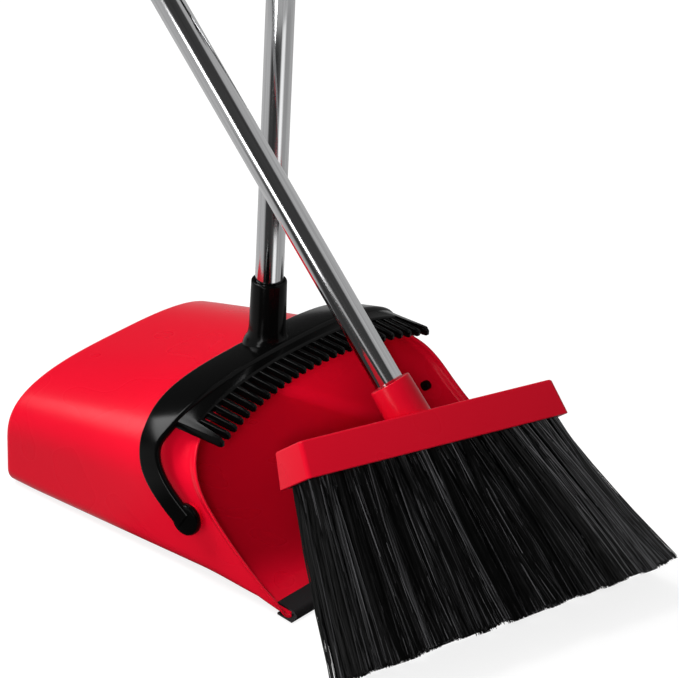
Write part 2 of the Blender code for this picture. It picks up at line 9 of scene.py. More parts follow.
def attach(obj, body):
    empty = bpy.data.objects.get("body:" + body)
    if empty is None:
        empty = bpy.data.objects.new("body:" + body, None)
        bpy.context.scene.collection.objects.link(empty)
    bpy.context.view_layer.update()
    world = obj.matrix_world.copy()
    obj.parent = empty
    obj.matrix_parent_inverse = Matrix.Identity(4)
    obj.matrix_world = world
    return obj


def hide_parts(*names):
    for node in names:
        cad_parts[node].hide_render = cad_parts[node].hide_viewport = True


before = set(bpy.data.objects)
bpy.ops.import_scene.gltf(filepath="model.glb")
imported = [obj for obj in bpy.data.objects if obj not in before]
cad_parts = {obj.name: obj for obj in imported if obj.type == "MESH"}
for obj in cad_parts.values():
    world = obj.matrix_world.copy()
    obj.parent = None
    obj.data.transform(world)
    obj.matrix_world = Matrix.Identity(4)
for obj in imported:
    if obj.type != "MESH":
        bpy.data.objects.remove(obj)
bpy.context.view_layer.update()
rng = np.random.default_rng(7)
gap = 0.0003  # left between pieces that touch, as in the solids
axisRadius = 0.00005  # smallest ring, where an outline meets its axis
noiseRange = (0.3, 0.7)  # where most of a noise's values lie
noiseDetail = 3.0  # how many finer layers a pattern has
up = np.array([0.0, 0.0, 1.0])


# sRGB hex to linear: the usual two-part curve, channel by channel
def linear(code):
    values = np.array([int(code[k:k + 2], 16) for k in (1, 3, 5)]) / 255
    values = np.where(values <= 0.04045, values / 12.92, ((values + 0.055) / 1.055) ** 2.4)
    return (*values.tolist(), 1.0)


# adds a node, sets its settings, fills or links its inputs by name or number, and gives a colour
# ramp its greys, each by position and brightness
def addNode(tree, kind, inputs=None, greys=(), **settings):
    node = tree.nodes.new("ShaderNode" + kind)
    for key, value in settings.items():
        setattr(node, key, value)
    for key, value in (inputs or {}).items():
        if isinstance(value, bpy.types.NodeSocket):
            tree.links.new(value, node.inputs[key])
        else:
            node.inputs[key].default_value = value
    while greys and len(node.color_ramp.elements) < len(greys):
        node.color_ramp.elements.new(0.5)
    for k, (position, value) in enumerate(greys):
        node.color_ramp.elements[k].position = position
        node.color_ramp.elements[k].color = (value, value, value, 1.0)
    return node


# an empty node material, and the coordinates that its patterns are drawn on
def startMaterial(name):
    material = bpy.data.materials.new(name)
    material.use_nodes = True
    tree = material.node_tree
    tree.nodes.clear()
    place = addNode(tree, "TexCoord").outputs["Object"]
    return material, tree, place


# polypropylene, injection moulded in a polished tool: an even, deep colour with a soft sheen
# and slow shading where the melt flowed
def mouldedPlastic(name, look):
    material, tree, place = startMaterial(name)
    flow = addNode(tree, "TexNoise", {"Vector": place, "Scale": 1 / look["flowSize"], "Detail": noiseDetail})
    colour = addNode(tree, "Mix", {"Factor": flow.outputs["Fac"], 6: linear(look["deep"]),
                                   7: linear(look["light"])}, data_type="RGBA")
    wear = addNode(tree, "TexNoise", {"Vector": place, "Scale": 1 / look["wearSize"], "Detail": 0.0})
    gloss = addNode(tree, "MapRange", {
        "Value": wear.outputs["Fac"], "From Min": noiseRange[0], "From Max": noiseRange[1],
        "To Min": look["rough"] * look["spread"][0], "To Max": look["rough"] * look["spread"][1]})
    shader = addNode(tree, "BsdfPrincipled", {
        "Base Color": colour.outputs[2], "Roughness": gloss.outputs["Result"], "IOR": look["ior"],
        "Specular IOR Level": look["sheen"]})
    addNode(tree, "OutputMaterial", {"Surface": shader.outputs["BSDF"]})
    return material


# stainless steel tube, drawn and polished: a clear mirror broken by fine lines along the tube,
# drawn coarser than the real ones so that they show
def drawnSteel(name, look, leanX, turnZ):
    material, tree, place = startMaterial(name)
    along = addNode(tree, "Mapping", {"Vector": place, "Scale": (1.0, 1.0, look["stretch"]),
                                      "Rotation": (math.radians(leanX), 0.0, math.radians(turnZ))},
                    vector_type="TEXTURE")
    lines = addNode(tree, "TexNoise", {"Vector": along.outputs["Vector"], "Scale": 1 / look["lineSize"],
                                       "Detail": noiseDetail})
    colour = addNode(tree, "Mix", {"Factor": lines.outputs["Fac"], 6: linear(look["deep"]),
                                   7: linear(look["light"])}, data_type="RGBA")
    gloss = addNode(tree, "MapRange", {
        "Value": lines.outputs["Fac"], "From Min": noiseRange[0], "From Max": noiseRange[1],
        "To Min": look["rough"] * look["spread"][0], "To Max": look["rough"] * look["spread"][1]})
    relief = addNode(tree, "Bump", {"Height": lines.outputs["Fac"], "Strength": look["relief"],
                                    "Distance": look["reliefDepth"]})
    shader = addNode(tree, "BsdfPrincipled", {
        "Base Color": colour.outputs[2], "Roughness": gloss.outputs["Result"], "Metallic": 1.0,
        "Normal": relief.outputs["Normal"]})
    addNode(tree, "OutputMaterial", {"Surface": shader.outputs["BSDF"]})
    return material


# moulded rubber: dull, with a fine grain
def grainedRubber(name, look):
    material, tree, place = startMaterial(name)
    grain = addNode(tree, "TexNoise", {"Vector": place, "Scale": 1 / look["grainSize"],
                                       "Detail": noiseDetail})
    colour = addNode(tree, "Mix", {"Factor": grain.outputs["Fac"], 6: linear(look["deep"]),
                                   7: linear(look["light"])}, data_type="RGBA")
    relief = addNode(tree, "Bump", {"Height": grain.outputs["Fac"], "Strength": look["relief"],
                                    "Distance": look["reliefDepth"]})
    shader = addNode(tree, "BsdfPrincipled", {
        "Base Color": colour.outputs[2], "Roughness": look["rough"], "Specular IOR Level": look["sheen"],
        "Normal": relief.outputs["Normal"]})
    addNode(tree, "OutputMaterial", {"Surface": shader.outputs["BSDF"]})
    return material


# drawn polyester fibre: black with a silky glint, each fibre a little different in tone; the few
# light grey fibres, which are smoother, are painted highlight streaks
def drawnFibre(name, look):
    material, tree, _ = startMaterial(name)
    tone = addNode(tree, "Attribute", attribute_name="fibreTone")
    colour = addNode(tree, "Mix", {"Factor": tone.outputs["Fac"], 6: linear(look["deep"]),
                                   7: linear(look["light"])}, data_type="RGBA")
    gloss = addNode(tree, "MapRange", {"Value": tone.outputs["Fac"], "To Min": look["rough"],
                                       "To Max": look["rough"] * look["smoother"]})
    shader = addNode(tree, "BsdfPrincipled", {
        "Base Color": colour.outputs[2], "Roughness": gloss.outputs["Result"],
        "Specular IOR Level": look["sheen"]})
    addNode(tree, "OutputMaterial", {"Surface": shader.outputs["BSDF"]})
    return material


red = mouldedPlastic("redPolypropylene", dict(
    deep="#cf0823", light="#d40a26", rough=0.28, spread=(0.96, 1.05), sheen=0.10, ior=1.49,
    flowSize=0.08, wearSize=0.04))
black = mouldedPlastic("blackPolypropylene", dict(
    deep="#040404", light="#070707", rough=0.16, spread=(0.96, 1.05), sheen=0.11, ior=1.49,
    flowSize=0.08, wearSize=0.04))
rubber = grainedRubber("blackRubber", dict(
    deep="#080708", light="#151214", rough=0.5, sheen=0.25, grainSize=0.0008, relief=0.2,
    reliefDepth=0.0002))
fibre = drawnFibre("blackPolyesterFibre", dict(
    deep="#010101", light="#5a5a5c", rough=0.30, smoother=0.7, sheen=0.35))


# Mesh from rings: points are [copy, ring, place in ring, xyz]; neighbours in a ring and from ring
# to ring make four-sided faces, and the ends are closed, or the last ring joins the first
def addPiece(name, points, material, body, replaced=(), wrap=False, sharp=40.0, tone=None):
    points = np.asarray(points, float)
    if points.ndim == 3:
        points = points[None]
    copies, rings, places = points.shape[:3]
    index = np.arange(copies * rings * places).reshape(copies, rings, places)
    low = index if wrap else index[:, :-1]
    high = np.roll(index, -1, 1) if wrap else index[:, 1:]
    quads = np.stack([low, np.roll(low, -1, 2), np.roll(high, -1, 2), high], -1).reshape(-1, 4)
    faces = quads.tolist()
    if not wrap:
        faces += index[:, 0].tolist() + index[:, -1].tolist()
    mesh = bpy.data.meshes.new(name)
    mesh.from_pydata(points.reshape(-1, 3).tolist(), [], faces)
    bm = bmesh.new()
    bm.from_mesh(mesh)
    bmesh.ops.recalc_face_normals(bm, faces=bm.faces)
    bm.to_mesh(mesh)
    bm.free()
    if tone is not None:
        layer = mesh.attributes.new("fibreTone", "FLOAT", "POINT")
        layer.data.foreach_set("value", np.repeat(tone, rings * places))
    mesh.shade_smooth()
    mesh.set_sharp_from_angle(angle=math.radians(sharp))
    mesh.materials.append(material)
    piece = bpy.data.objects.new(name, mesh)
    bpy.context.collection.objects.link(piece)
    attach(piece, body)
    if replaced:
        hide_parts(*replaced)
    return piece


# a frame is an origin and three directions; local points are carried to the world by it
def carry(place, local):
    origin, axes = place
    return origin + np.asarray(local, float) @ axes


# radius and height of the outline turned about the frame's third direction
def turned(outline, place, sides=96):
    outline = np.asarray(outline, float)
    angle = 2 * np.pi * np.arange(sides) / sides
    radius = np.maximum(outline[:, :1], axisRadius)
    height = outline[:, 1:] + 0 * angle
    return carry(place, np.stack([radius * np.cos(angle), radius * np.sin(angle), height], -1))


# outline of a straight run of one radius; each edge is eased over three points
def easedRun(start, end, radius, ease):
    bit = 0.3 * ease
    return [(radius - ease, start), (radius - bit, start + bit), (radius, start + ease),
            (radius, end - ease), (radius - bit, end - bit), (radius - ease, end)]


# rectangle with quarter-circle corners, counted round from its first corner
def roundedBar(half, thick, radius, steps=4):
    turn = np.linspace(0, np.pi / 2, steps + 1) + np.arange(4)[:, None] * np.pi / 2
    signs = np.array([(1, 1), (-1, 1), (-1, -1), (1, -1)])
    half, thick, radius = (np.asarray(v, float)[..., None, None] for v in (half, thick, radius))
    first = signs[:, :1] * (half - radius) + radius * np.cos(turn)
    second = signs[:, 1:] * (thick - radius) + radius * np.sin(turn) + 0 * first
    first = first + 0 * second
    shape = first.shape[:-2] + (-1,)
    return first.reshape(shape), second.reshape(shape)


# slow start and slow end between two values
def smooth(value, start, end):
    part = np.clip((value - start) / (end - start), 0, 1)
    return part * part * (3 - 2 * part)


# even run from one value to another
def between(first, last, share):
    return first + (last - first) * share


# each vector over its own length
def unit(vectors):
    return vectors / np.linalg.norm(vectors, axis=-1, keepdims=True)


hinge = np.array([0.0, -0.196, 0.052])  # the line that forward distances start from
pivot = hinge + (0, 0.003, 0)  # axis of the pins, a little behind that line

# Scoop: forward distances run towards its lip
scoop = dict(halfWidth=0.143, taper=0.072, wall=0.0024, back=-0.211, heelEnd=-0.181, kink=0.063,
             kinkRise=0.0074, tongueEnd=0.093, tongueRise=0.0027, crown=0.084, crownSlope=0.211,
             shoulder=0.035, shoulderSlope=0.128, powerBack=3.0, powerFront=2.5, hoodDip=0.008,
             cornerBack=0.012, cornerFront=0.0042, cornerRun=(0.0, 0.075), cornerLeast=0.0012,
             backRound=0.005, wallEnd=0.095, wallEndHeight=0.020,
             edgeHeights=(0.020, 0.035, 0.055, 0.075, 0.095),
             edgeForwards=(0.0717, 0.0465, 0.0245, 0.0035, -0.0116),
             bead=0.6, beadFoot=(0.012, 0.03), beadTop=(0.085, 0.105), flare=0.0028, flareLength=0.007,
             hubRadius=0.0095, hubBore=0.0043, hubSunk=0.001, hubFace=0.1475, hubEase=0.0008)
floorShares = np.linspace(0, 0.95, 12)
cornerTurns = np.linspace(0, np.pi / 2, 9)
wallShares = np.linspace(0.08, 0.92, 10)
archTurns = np.pi / 2 * np.linspace(0, 1, 40) ** 1.35  # closer together near the wall
outlineParts = np.cumsum([len(floorShares), len(cornerTurns), len(wallShares)])
# rings from back to mouth, closer together at the mouth, for its flare
ringShares = np.concatenate([np.linspace(0.03, 0.90, 44), np.linspace(0.905, 1, 14)])[:, None]
# how much of the flare each place in the outline has: none on the floor or at the crown
flareMask = np.concatenate([0 * floorShares, (cornerTurns * 2 / np.pi) ** 2, 1 + 0 * wallShares,
                            np.clip(1 - archTurns, 0, 1)])
edgeCurve = np.polyfit(scoop["edgeHeights"], scoop["edgeForwards"], 2)


# straight pieces: flat heel, slope up to the kink, slope down the tongue
def floorHeight(forward):
    marks = (scoop["back"], scoop["heelEnd"], scoop["kink"], scoop["tongueEnd"])
    return np.interp(forward, marks, (0, 0, scoop["kinkRise"], scoop["tongueRise"]))


# half the width, which grows evenly forward
def halfWidth(forward):
    return scoop["halfWidth"] + scoop["taper"] * forward


# height of the hood's middle, which rises evenly from the back
def crown(forward):
    return scoop["crown"] + scoop["crownSlope"] * (forward - scoop["back"])


# height where the wall turns into the arch, which rises evenly from the back
def shoulder(forward):
    return scoop["shoulder"] + scoop["shoulderSlope"] * (forward - scoop["back"])


# quarter of a superellipse, from the wall (turn 0) to the crown
def archPoint(width, low, high, turn, power):
    return width * np.cos(turn) ** (2 / power), low + (high - low) * np.sin(turn) ** (2 / power)


# half of the outline, from the middle of the floor: straight floor, quarter-circle corner,
# straight wall and arch; each place in the outline has its own forward distance
def outlinePoints(forward, inset):
    floorPart, cornerPart, wallPart, archPart = np.split(np.arange(forward.shape[-1]), outlineParts)
    width, low = halfWidth(forward) - inset, floorHeight(forward) + inset
    corner = between(scoop["cornerBack"], scoop["cornerFront"], smooth(forward, *scoop["cornerRun"]))
    corner = np.maximum(corner - inset, scoop["cornerLeast"])
    spring, top = shoulder(forward), crown(forward) - inset
    power = between(scoop["powerBack"], scoop["powerFront"], smooth(forward, scoop["back"], 0))
    x, z = np.empty_like(width), np.empty_like(width)
    x[..., floorPart] = floorShares * (width - corner)[..., floorPart]
    z[..., floorPart] = low[..., floorPart]
    x[..., cornerPart] = (width - corner)[..., cornerPart] + corner[..., cornerPart] * np.sin(cornerTurns)
    z[..., cornerPart] = low[..., cornerPart] + corner[..., cornerPart] * (1 - np.cos(cornerTurns))
    start = (low + corner)[..., wallPart]
    x[..., wallPart] = width[..., wallPart]
    z[..., wallPart] = start + wallShares * (spring[..., wallPart] - start)
    x[..., archPart], z[..., archPart] = archPoint(width[..., archPart], spring[..., archPart],
                                                   top[..., archPart], archTurns, power[..., archPart])
    x[..., -1] = 0
    return x, z


# the wall's front edge: a parabola through the heights and forwards above, rounded off at the lip
def edgeForward(height):
    sweep = np.polyval(edgeCurve, np.maximum(height, scoop["wallEndHeight"]))
    low = scoop["wallEnd"] - (scoop["wallEnd"] - sweep) * (height / scoop["wallEndHeight"]) ** 2
    return np.where(height < scoop["wallEndHeight"], low, sweep)


# the mouth: each line of the outline is followed, half a step at a time, until it meets the front
# edge; the hood's edge dips back in the middle
def mouthForwards():
    forward = np.zeros(outlineParts[-1] + len(archTurns))
    for _ in range(60):
        x, z = outlinePoints(forward, 0.0)
        dip = np.where(z > shoulder(forward), scoop["hoodDip"] * (1 - (x / halfWidth(forward)) ** 2), 0)
        forward = 0.5 * forward + 0.5 * (edgeForward(z) - dip)
    forward[:len(floorShares) + 1] = scoop["tongueEnd"]
    return forward


# one skin of the scoop: rings from the rounded back wall to the flared mouth, of which none stands
# inside the rounding
def scoopSkin(inset, mouth):
    turn = np.linspace(np.pi / 2, 0, 7)[:, None]
    back = scoop["back"] + inset
    forward = back + scoop["backRound"] * (1 - np.sin(turn)) + 0 * mouth
    rounded = inset + scoop["backRound"] * (1 - np.cos(turn)) + 0 * mouth
    reach = between(scoop["back"], mouth, ringShares)
    reach = np.maximum(reach, back + scoop["backRound"] * 1.2)
    forward = np.concatenate([forward, reach])
    flare = scoop["flare"] * flareMask * smooth(reach, mouth - scoop["flareLength"], mouth)
    inset = np.concatenate([rounded, inset - flare])
    x, z = outlinePoints(forward, inset)
    half = np.stack([x, hinge[1] - forward, z], -1)
    other = half[:, -2:0:-1] * (-1, 1, 1)
    return np.concatenate([half, other], 1)


# outside skin, a half-round rim and the inside skin make one closed wall; the rim swells to a bead
# that fades at its foot and at the top
def makeScoop():
    mouth = mouthForwards()
    outside, inside = scoopSkin(0.0, mouth), scoopSkin(scoop["wall"], mouth)
    middle = (outside[-1] + inside[-1]) / 2
    ahead = unit(outside[-1] - outside[-3]) * scoop["wall"] / 2
    turn = np.linspace(0, np.pi, 11)[1:-1, None, None]
    height = middle[:, 2:]
    fade = smooth(height, *scoop["beadFoot"]) * (1 - smooth(height, *scoop["beadTop"]))
    bead = 1 + scoop["bead"] * fade * np.sin(turn)
    rim = middle + bead * ((outside[-1] - middle) * np.cos(turn) + ahead * np.sin(turn))
    addPiece("scoopShell", np.concatenate([outside, rim, inside[::-1]]), red, "pan",
             ["pan_shell"], sharp=60.0)
    bore, start, end = scoop["hubBore"], scoop["halfWidth"] - scoop["hubSunk"], scoop["hubFace"]
    hub = [(bore, start)] + easedRun(start, end, scoop["hubRadius"], scoop["hubEase"]) + [(bore, end)]
    for name, side in (("Left", -1), ("Right", 1)):
        addPiece("scoopHub" + name, turned(hub, sideways(side)), red, "pan", wrap=True)


# frame with its third direction along the pins' axis, out of the left or right side
def sideways(side):
    return pivot, np.array([(0, 1, 0), (0, 0, side), (side, 0, 0)], float)


# Rubber lip: folded round the front of the scoop's floor
lip = dict(front=0.0985, back=0.079, underBack=0.084, thick=0.0015, half=0.1432, underHalf=0.1488)


# one outline of forward distance and height above the tongue's slope, carried across the scoop; the
# flap under the floor reaches further out
def makeLip():
    top, thick, front, back = scoop["wall"] + gap, lip["thick"], lip["front"], lip["back"]
    outline = np.array([(back, top), (back, top + 0.5 * thick), (back + 0.0006, top + 0.9 * thick),
                        (back + 0.0016, top + thick), (front - 0.006, top + thick),
                        (front - 0.0028, top + 0.75 * thick), (front - 0.001, top - 0.4 * thick),
                        (front, top - 1.5 * thick), (front, -gap - 0.4 * thick),
                        (front - 0.0006, -gap - thick), (lip["underBack"], -gap - thick),
                        (lip["underBack"], -gap), (scoop["tongueEnd"] + gap, -gap),
                        (scoop["tongueEnd"] + gap, top)])
    slope = (scoop["tongueRise"] - scoop["kinkRise"]) / (scoop["tongueEnd"] - scoop["kink"])
    half = np.where(outline[:, 1] < -0.5 * gap, lip["underHalf"], lip["half"])
    across = np.linspace(-1, 1, 40)[:, None] * half
    rise = scoop["kinkRise"] + slope * (outline[:, 0] - scoop["kink"]) + outline[:, 1]
    points = np.stack([across, hinge[1] - outline[:, 0] + 0 * across, rise + 0 * across], -1)
    addPiece("rubberLip", points, rubber, "pan", ["rubber_lip"])


# Yoke: a band over the hood whose arms come down to the hinge, with a comb in front; the socket's
# outline is radius and height from its rim
yoke = dict(power=3.0, standSide=0.0135, standTop=0.0082, thick=0.0064, sideForward=-0.048,
            topForward=-0.051, topRun=(0.55, 1.0), armSweep=0.045, armTop=0.103, armPower=1.7,
            armHalf=0.0092, bandHalf=0.019, widenRun=(0.35, 0.95), edgeRound=0.0028,
            bossRadius=0.0127, bossInner=0.1479, bossOuter=0.1545, bossEase=0.0022,
            pinRadius=0.004, pinInner=0.136, pinEase=0.0008,
            socket=((0.0113, -0.036), (0.002, -0.036), (0.002, -0.0565), (0.0192, -0.0565),
                    (0.0180, -0.0515), (0.0163, -0.0485), (0.0151, -0.0455), (0.0144, -0.040),
                    (0.0138, -0.0012), (0.0135, -0.0003), (0.0130, 0.0), (0.0113, 0.0)))
yokeHalfWidth = halfWidth(yoke["sideForward"]) + yoke["standSide"]


# middle of the band's thickness: an arch from the right boss (turn 0) to the left one (turn pi),
# swept forward down the arms and a little back over the top
def yokeMiddle(turn):
    flat = np.clip(np.minimum(turn, np.pi - turn), 0, np.pi / 2)
    forward = np.full_like(turn, yoke["sideForward"])
    for _ in range(40):
        x, z = archPoint(yokeHalfWidth, hinge[2], crown(forward) + yoke["standTop"], flat, yoke["power"])
        drop = np.maximum(yoke["armTop"] - z, 0) / (yoke["armTop"] - hinge[2])
        swept = yoke["sideForward"] + yoke["armSweep"] * drop ** yoke["armPower"]
        over = between(yoke["sideForward"], yoke["topForward"], smooth(np.sin(turn), *yoke["topRun"]))
        forward = np.where(z < yoke["armTop"], swept, over)
    return np.stack([np.where(turn < np.pi / 2, x, -x), hinge[1] - forward, z], -1)


# directions out of the band and across it, from its run and the hood's slope
def yokeAxes(turn):
    step = 0.004
    run = unit(yokeMiddle(np.minimum(turn + step, np.pi)) - yokeMiddle(np.maximum(turn - step, 0)))
    out = np.stack([run[..., 2], 0 * turn, -run[..., 0]], -1)
    outwards = np.sum(out * np.stack([np.cos(turn), 0 * turn, np.sin(turn)], -1), -1, keepdims=True)
    out = unit(out * np.where(outwards < 0, -1, 1))
    out[..., 1] += scoop["crownSlope"] * np.maximum(out[..., 2], 0)
    out = unit(out - run * np.sum(out * run, -1, keepdims=True))
    return out, unit(np.cross(run, out))


# half the band's width: narrow down the arms, wide over the top
def bandHalf(turn):
    return between(yoke["armHalf"], yoke["bandHalf"], smooth(np.sin(turn), *yoke["widenRun"]))


# a rounded bar carried along the band's middle line
def makeBand():
    turn = np.linspace(0, np.pi, 201)
    out, across = yokeAxes(turn)
    wide, thick = roundedBar(bandHalf(turn), yoke["thick"] / 2, yoke["edgeRound"], 6)
    points = yokeMiddle(turn)[:, None] + across[:, None] * wide[..., None] + out[:, None] * thick[..., None]
    addPiece("yokeBand", points, black, "handle", ["comb_yoke"], sharp=50.0)


# Comb: teeth along the band's front; toothSizes is a tooth's size at each of its toothShares
comb = dict(teeth=28, half=0.1235, tipForward=-0.0027, tipForwardEnd=0.0093, tipHeight=0.1234,
            tipHeightEnd=0.1084, rootWide=0.0021, rootDeep=0.0030, tipWide=0.0017, tipDeep=0.0030,
            rootShare=0.45, rootDrop=0.0010, round=0.00063,
            toothShares=(0, 0.12, 0.4, 0.7, 0.92, 0.96, 0.985, 1.0),
            toothSizes=(0.6, 0.95, 1, 1, 1, 0.92, 0.8, 0.6))


# root, tip and directions of the comb's lines at parts -1 (left end) to 1 of its length; the root
# lies a share of the band's half width before its middle
def toothLines(part):
    x = comb["half"] * part
    flat = np.arccos((np.abs(x) / yokeHalfWidth) ** (yoke["power"] / 2))
    turn = np.where(x > 0, flat, np.pi - flat)
    across = yokeAxes(turn)[1]
    across = across * np.where(across[:, 1:2] < 0, 1, -1)
    root = yokeMiddle(turn) + across * (bandHalf(turn) * comb["rootShare"])[:, None]
    root[:, 0] = x
    root[:, 2] -= comb["rootDrop"]
    forward = between(comb["tipForward"], comb["tipForwardEnd"], part ** 2)
    height = between(comb["tipHeight"], comb["tipHeightEnd"], part ** 2)
    tip = np.stack([x, hinge[1] - forward, height], -1)
    side = np.array([1.0, 0.0, 0.0])
    rise = unit(np.cross(tip - root, side))
    return root, tip, side, rise


# each tooth is an upright blade from the band's front to its tip, with a rounded nose
def makeComb():
    root, tip, side, rise = toothLines(np.linspace(-1, 1, comb["teeth"]))
    share, size = np.array(comb["toothShares"]), np.array(comb["toothSizes"])
    wide = between(comb["rootWide"], comb["tipWide"], share) * size
    deep = between(comb["rootDeep"], comb["tipDeep"], share) * size
    barX, barY = roundedBar(wide, deep, comb["round"] * size, 3)
    middle = root[:, None] + (tip - root)[:, None] * share[:, None]
    points = middle[:, :, None] + side * barX[..., None] + rise[:, None, None] * barY[..., None]
    addPiece("yokeComb", points, black, "handle", sharp=50.0)


# Web that the teeth stand on: share is how much of a tooth's line it covers
web = dict(share=0.45, shareEnd=0.96, broadRun=(0.965, 0.99), thick=0.0070, thickEnd=0.0050,
           thinRun=(0.75, 0.95), lift=0.0008, round=0.0022, span=1.015)


# a rounded plate over the first part of each tooth's line, and over most of it at the ends, for the
# broad end teeth
def makeWeb():
    part = np.linspace(-web["span"], web["span"], 161)
    root, tip, _, rise = toothLines(part)
    reach = unit(tip - root)
    share = between(web["share"], web["shareEnd"], smooth(np.abs(part), *web["broadRun"]))
    half = np.linalg.norm(tip - root, axis=-1) * share / 2
    thick = between(web["thick"], web["thickEnd"], smooth(np.abs(part), *web["thinRun"]))
    barX, barY = roundedBar(half, thick / 2, web["round"], 5)
    lift = web["lift"] + (web["thick"] - thick) / 2
    middle = root + reach * half[:, None] + rise * lift[:, None]
    points = middle[:, None] + reach[:, None] * barX[..., None] + rise[:, None] * barY[..., None]
    addPiece("yokeWeb", points, black, "handle", sharp=50.0)


# band, comb and web, then the turned parts: pole socket, bosses and pins
def makeYoke(place):
    makeBand()
    makeComb()
    makeWeb()
    addPiece("poleSocket", turned(yoke["socket"], place), black, "handle", wrap=True, sharp=50.0)
    for name, side in (("Left", -1), ("Right", 1)):
        start, end = yoke["bossInner"], yoke["bossOuter"]
        boss = [(0, start)] + easedRun(start, end, yoke["bossRadius"], yoke["bossEase"]) + [(0, end)]
        addPiece("yokeBoss" + name, turned(boss, sideways(side)), black, "handle")
        start, end = yoke["pinInner"], yoke["bossInner"] - gap
        pin = [(0, start)] + easedRun(start, end, yoke["pinRadius"], yoke["pinEase"]) + [(0, end)]
        addPiece("pivotPin" + name, turned(pin, sideways(side)), black, "handle",
                 ["pivot_pin_" + name.lower()])


# Poles: three tubes with a collar over each joint, on one axis; collarEdge is how far in from the
# collar's radius its outline lies, at distances from its end
pole = dict(radius=0.011, wall=0.0008, tubeEase=0.0003, seat=0.035, middle=0.307, upper=0.231,
            collar=0.044, collarRadius=0.0134,
            collarEdge=((-0.0016, 0.0), (-0.0004, 0.001), (0.0, 0.0025), (0.0, 0.010), (-0.0006, 0.0108)))


# tubes and collars are turned outlines; a collar's second end mirrors its first
def makePole(name, body, steel, place, lower, topSeat):
    radius, inside, collar = pole["radius"], pole["radius"] - pole["wall"], pole["collar"]
    lowJoint = lower + collar / 2
    highJoint = lowJoint + collar + pole["middle"]
    top = highJoint + collar / 2 + pole["upper"]
    spans = dict(lower=(-pole["seat"], lowJoint - gap), middle=(lowJoint + gap, highJoint - gap),
                 upper=(highJoint + gap, top + topSeat))
    for part, (start, end) in spans.items():
        outline = [(inside, start)] + easedRun(start, end, radius, pole["tubeEase"]) + [(inside, end)]
        addPiece(name + "Pole" + part.title(), turned(outline, place), steel, body,
                 [name + "_pole_" + part], wrap=True)
    bore, out, edge = radius + gap, pole["collarRadius"], np.array(pole["collarEdge"])
    for part, joint in (("lower", lowJoint), ("upper", highJoint)):
        start, end = joint - collar / 2, joint + collar / 2
        first, second = edge + (out, start), edge[::-1] * (1, -1) + (out, end)
        outline = np.concatenate([[(bore, start)], first, second, [(bore, end)]])
        addPiece(name + "Collar" + part.title(), turned(outline, place), black, body,
                 [name + "_collar_" + part], wrap=True)
    return lowJoint, highJoint, top


# Grips: turned, with finger grooves; the holes to hang them by are cut across. Foot and head are
# outlines of radius and height
grip = dict(length=0.105, seat=0.075, panGrooves=9, panStart=0.010, broomGrooves=7, broomStart=0.009,
            pitch=0.006, groove=0.0006, radius=0.0136, sleeve=0.060, point=0.088, plug=0.0099,
            plugLength=0.025, hole=0.004, holeReach=0.03, panHole=0.089, broomHole=0.056,
            foot=((0.0124, 0.0), (0.0131, 0.0012), (0.0134, 0.004)),
            head=((0.0139, 0.070), (0.0147, 0.080), (0.0158, 0.089), (0.0165, 0.0945), (0.0163, 0.099),
                  (0.0152, 0.1025), (0.0128, 0.1042), (0.006, 0.1049)))


# flat-bottomed grooves at an even pitch
def gripGrooves(start, count):
    heights = start + grip["pitch"] * np.arange(count)
    out, deep = grip["radius"], grip["radius"] - grip["groove"]
    rings = np.array([(out, 0.0), (deep, 0.0012), (deep, 0.0024), (out, 0.0036)])
    return (rings + np.stack([0 * heights, heights], -1)[:, None]).reshape(-1, 2).tolist()


# turned outline from the bottom of its bore, round the foot, over the grooves and the head
def makePanGrip(place, start):
    bore = pole["radius"] + gap
    outline = [(0, grip["seat"]), (bore, grip["seat"]), (bore, 0), *grip["foot"]]
    outline += gripGrooves(grip["panStart"], grip["panGrooves"])
    outline += [*grip["head"], (0, grip["length"])]
    points = turned(np.array(outline) + (0, start), place)
    cutHole(addPiece("panGrip", points, black, "handle", ["pan_grip"]), place,
            start + grip["panHole"])


# a turned sleeve, and a turned end whose radius falls as the root of one less its share cubed
def makeBroomGrip(place, start):
    bore, plug = pole["radius"] + gap, grip["plug"]
    sleeve = [(bore, 0), *grip["foot"]]
    sleeve += gripGrooves(grip["broomStart"], grip["broomGrooves"])
    sleeve += [(0.0137, 0.058), (0.0134, grip["sleeve"]), (bore, grip["sleeve"])]
    addPiece("broomGrip", turned(np.array(sleeve) + (0, start), place), black, "broom",
             ["broom_grip"], wrap=True)
    base = grip["sleeve"] + gap
    low = base - grip["plugLength"]
    share = np.linspace(0.12, 1, 26)
    taper = np.stack([grip["radius"] * np.sqrt(1 - share ** 3), base + share * grip["point"]], -1)
    foot = np.array(grip["foot"][:2]) + (0, base)
    point = np.concatenate([[(0, low), (plug, low), (plug, base)], foot, taper])
    points = turned(point + (0, start), place)
    cutHole(addPiece("broomGripEnd", points, red, "broom", ["broom_grip_end"]), place,
            start + base + grip["broomHole"])


# takes a cross-wise cylinder out of a piece
def cutHole(piece, place, height):
    origin, axes = place
    cross = origin + height * axes[2], np.array([axes[0], axes[2], -axes[1]])
    radius, reach = grip["hole"], grip["holeReach"]
    ends = [(0, -reach), (radius, -reach), (radius, reach), (0, reach)]
    cutter = addPiece(piece.name + "Hole", turned(ends, cross, 48), black, "handle")
    step = piece.modifiers.new("hangHole", "BOOLEAN")
    step.operation = "DIFFERENCE"
    step.object = cutter
    bpy.context.view_layer.update()
    cut = bpy.data.meshes.new_from_object(piece.evaluated_get(bpy.context.evaluated_depsgraph_get()))
    piece.modifiers.clear()
    piece.data = cut
    cut.set_sharp_from_angle(angle=math.radians(40))
    bpy.data.objects.remove(cutter, do_unlink=True)


# Storage clips: a ring on the collar and an open jaw in front of it, for the other pole
clip = dict(height=0.012, ring=0.0162, reach=0.029, jaw=0.0126, jawThick=0.0024, mouth=0.0075,
            ease=0.0006)


